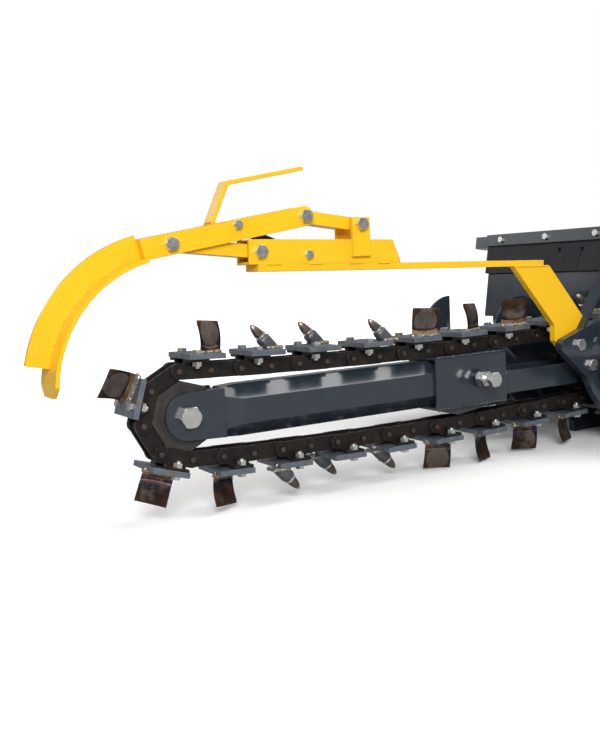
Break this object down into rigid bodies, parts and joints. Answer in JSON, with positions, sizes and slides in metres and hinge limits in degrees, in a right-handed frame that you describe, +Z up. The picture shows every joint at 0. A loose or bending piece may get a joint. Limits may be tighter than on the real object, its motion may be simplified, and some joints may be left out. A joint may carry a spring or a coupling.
{
  "type": "chain trencher attachment",
  "caption": "Chain trencher attachment with a cutter chain on a telescoping boom, a spring-assisted crumber linkage above it, a spoil auger and a hooked hitch plate.",
  "frame": {"origin": "centre of the hitch plate's mating face", "axes": "+X out of the hitch plate towards the carrying machine, so the nose of the boom points along -X; +Y to the side the auger throws spoil; +Z up"},
  "size_m": [1.3734, 0.683, 0.5142],
  "materials": {
    "yellow_paint": "yellow gloss enamel over steel plate",
    "dark_paint": "dark blue-grey gloss enamel over steel",
    "zinc": "bright zinc plate",
    "chain_steel": "oiled black-brown heat-treated steel",
    "pin_steel": "ground steel with brown temper colour",
    "idler_steel": "brown-grey cut steel",
    "base_plate": "blue-grey mill scale with weld tint",
    "knife_steel": "hot-bent steel with hardfacing and heat tint",
    "tooth_steel": "bronze-grey forged steel",
    "rubber_sheet": "matt moulded sheet",
    "spring_steel": "black oiled spring wire"
  },
  "bodies": {
    "frame": {"boom_cheeks": "dark_paint", "boom_sleeve": "dark_paint", "chain_links_bottom": "chain_steel", "chain_links_head": "chain_steel", "chain_links_nose": "chain_steel", "chain_links_top": "chain_steel", "chain_pins": "pin_steel", "chain_rollers": "chain_steel", "crumber_arm": "yellow_paint", "crumber_channel": "yellow_paint", "crumber_leg": "yellow_paint", "cutter_bases_bottom": "base_plate", "cutter_bases_nose": "base_plate", "cutter_bases_top": "base_plate", "cutter_bolts": "zinc", "cutter_knives_bottom": "knife_steel", "cutter_knives_nose": "knife_steel", "cutter_knives_top": "knife_steel", "cutter_teeth": "tooth_steel", "drive_motor": "dark_paint", "far_side_plate": "dark_paint", "flap_bolts": "zinc", "flap_clamp_strip": "dark_paint", "frame_bolts": "zinc", "frame_pivot_bolts": "zinc", "head_bearings": "pin_steel", "head_housings": "dark_paint", "head_sprocket": "chain_steel", "hitch_plate": "dark_paint", "hitch_webs": "dark_paint", "hood_beam": "dark_paint", "hood_braces": "dark_paint", "hood_panel": "dark_paint", "link_posts": "yellow_paint", "lock_bolt": "zinc", "lower_cross_tube": "dark_paint", "motor_ports": "zinc", "near_side_plate": "dark_paint", "rubber_flap": "rubber_sheet", "skid_runners": "dark_paint", "upper_cross_tube": "dark_paint"},
    "boom_nose": {"boom_beam": "dark_paint", "nose_ears": "dark_paint", "nose_idler": "idler_steel", "idler_bush": "idler_steel", "idler_bolt": "zinc", "take_up_screw": "zinc"},
    "auger": {"head_shaft": "pin_steel", "auger_tube": "dark_paint", "auger_flight": "dark_paint", "auger_bolt": "zinc"},
    "lower_link": {"lower_link": "yellow_paint"},
    "crumber": {"crumber_bar": "yellow_paint", "crumber_shoe": "yellow_paint", "crumber_rib": "yellow_paint", "lift_handle": "yellow_paint", "bar_pivot_bolts": "zinc"},
    "upper_link": {"upper_link": "yellow_paint"},
    "spring": {"spring_coil": "spring_steel"},
    "spring_end": {"spring_hook": "spring_steel"}
  },
  "joints": [
    {"name": "boom_slack", "type": "slide", "parent": "frame", "child": "boom_nose", "axis": [1, 0, 0], "range_m": [0, 0.015]},
    {"name": "auger_spin", "type": "hinge", "parent": "frame", "child": "auger", "pos_m": [-0.262, -0.13, -0.045], "axis": [0, 1, 0], "continuous": true},
    {"name": "crumber_lift", "type": "hinge", "parent": "frame", "child": "lower_link", "pos_m": [-0.98722, -0.13, 0.189], "axis": [0, 1, 0], "range_deg": [0, 40]},
    {"name": "crumber_pivot", "type": "hinge", "parent": "lower_link", "child": "crumber", "pos_m": [-1.13122, -0.13, 0.205], "axis": [0, 1, 0], "range_deg": [-36, 0]},
    {"name": "upper_link_pivot", "type": "hinge", "parent": "frame", "child": "upper_link", "pos_m": [-0.80522, -0.13, 0.226], "axis": [0, 1, 0], "range_deg": [0, 50]},
    {"name": "spring_swing", "type": "hinge", "parent": "frame", "child": "spring", "pos_m": [-0.90222, -0.13, 0.181], "axis": [0, 1, 0], "range_deg": [0, 39]},
    {"name": "spring_stretch", "type": "slide", "parent": "spring", "child": "spring_end", "axis": [-0.9269, 0, 0.3753], "range_m": [0, 0.0205]}
  ],
  "couplings": [
    {"joint": "crumber_pivot", "follows": "crumber_lift", "ratio": -0.8912},
    {"joint": "upper_link_pivot", "follows": "crumber_lift", "ratio": 1.2338},
    {"joint": "spring_swing", "follows": "crumber_lift", "ratio": 0.9502},
    {"joint": "spring_stretch", "follows": "crumber_lift", "m_per_rad": 0.028619}
  ]
}
